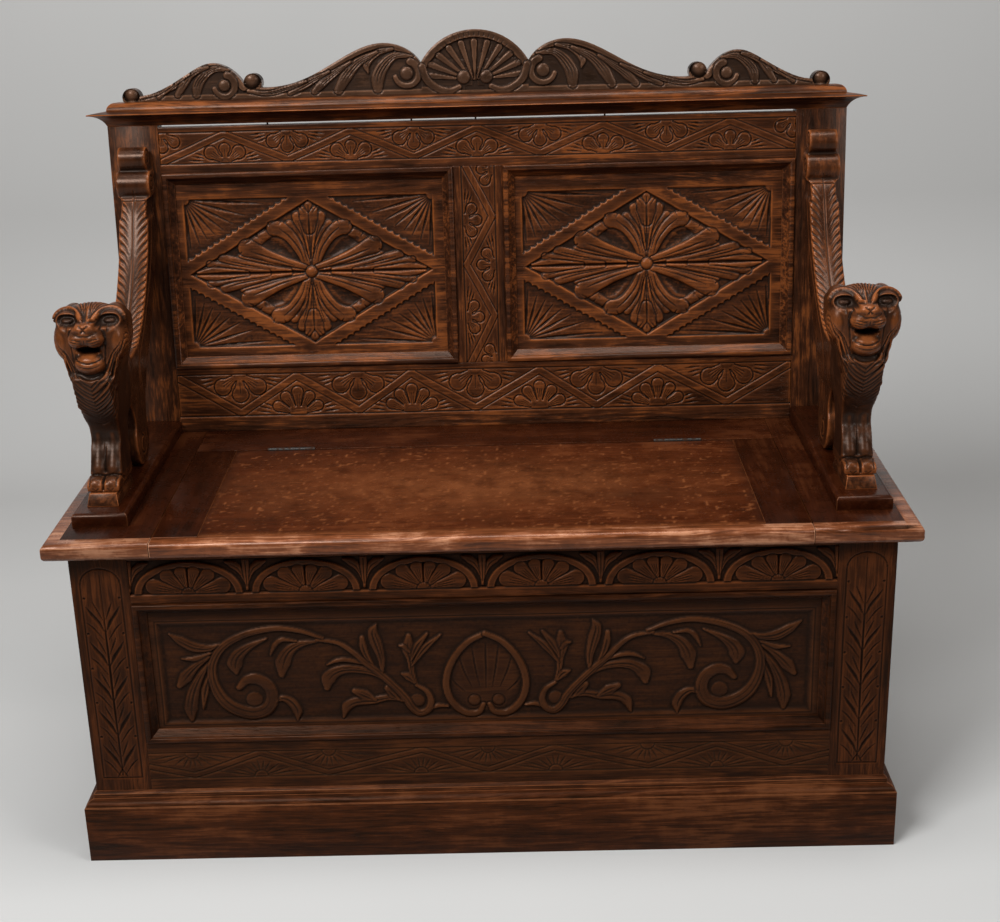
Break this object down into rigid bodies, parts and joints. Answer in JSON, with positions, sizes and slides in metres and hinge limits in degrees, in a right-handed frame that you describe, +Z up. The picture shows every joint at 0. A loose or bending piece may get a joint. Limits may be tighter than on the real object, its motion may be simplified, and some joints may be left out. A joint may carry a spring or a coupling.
{
  "type": "settle bench",
  "caption": "Carved oak settle bench: panelled storage box with a lift-up seat, leaning panelled back with shaped cresting, and lion arms.",
  "frame": {"origin": "on the floor, at the middle of the bench's footprint", "axes": "+X to the right as one faces the bench, +Y from the front to the back, +Z up"},
  "size_m": [1.07, 0.4902, 1.0042],
  "materials": {
    "carved_oak": "dark stained oak, waxed, near-black in the carving",
    "seat_oak": "dark stained oak, polished by use",
    "arm_oak": "dark stained oak, worn bright on the high places",
    "plain_oak": "dark stained oak, dull",
    "plinth_oak": "dark stained oak, scuffed at the floor",
    "hinge_iron": "old iron, dull"
  },
  "bodies": {
    "bench": {"arm_base_left": "carved_oak", "arm_base_right": "carved_oak", "back_bottom_rail": "carved_oak", "back_moulding_left": "carved_oak", "back_moulding_right": "carved_oak", "back_muntin": "carved_oak", "back_panel_left": "carved_oak", "back_panel_right": "carved_oak", "back_top_rail": "carved_oak", "bottom_bearer_front": "plain_oak", "bottom_bearer_rear": "plain_oak", "bottom_boards": "plain_oak", "box_rear_bottom_rail": "plain_oak", "box_rear_panel": "plain_oak", "box_rear_top_rail": "plain_oak", "cornice": "carved_oak", "cresting": "arm_oak", "cresting_strip": "carved_oak", "front_bottom_rail": "carved_oak", "front_panel": "carved_oak", "front_panel_moulding": "carved_oak", "front_stile_left": "carved_oak", "front_stile_right": "carved_oak", "front_top_rail": "carved_oak", "hinge_leaf_fixed_left": "hinge_iron", "hinge_leaf_fixed_right": "hinge_iron", "hinge_pin_left": "hinge_iron", "hinge_pin_right": "hinge_iron", "hinge_rail": "seat_oak", "lid_bearer_left": "plain_oak", "lid_bearer_right": "plain_oak", "lion_arm_left": "arm_oak", "lion_arm_right": "arm_oak", "lion_cheeks_left": "arm_oak", "lion_cheeks_right": "arm_oak", "paw_block_left": "arm_oak", "paw_block_right": "arm_oak", "plinth_front": "plinth_oak", "plinth_left": "plinth_oak", "plinth_right": "plinth_oak", "rear_post_left": "carved_oak", "rear_post_right": "carved_oak", "seat_board_left": "seat_oak", "seat_board_right": "seat_oak", "seat_nosing_left": "carved_oak", "seat_nosing_right": "carved_oak", "side_bottom_rail_left": "plain_oak", "side_bottom_rail_right": "plain_oak", "side_panel_left": "plain_oak", "side_panel_right": "plain_oak", "side_top_rail_left": "plain_oak", "side_top_rail_right": "plain_oak"},
    "lid": {"lid_board": "seat_oak", "lid_cleat_left": "seat_oak", "lid_cleat_right": "seat_oak", "lid_nosing": "carved_oak", "hinge_leaf_moving_left": "hinge_iron", "hinge_leaf_moving_right": "hinge_iron"}
  },
  "joints": [
    {"name": "lid_hinge", "type": "hinge", "parent": "bench", "child": "lid", "pos_m": [0, 0.08688, 0.452], "axis": [-1, 0, 0], "range_deg": [0, 106]}
  ]
}
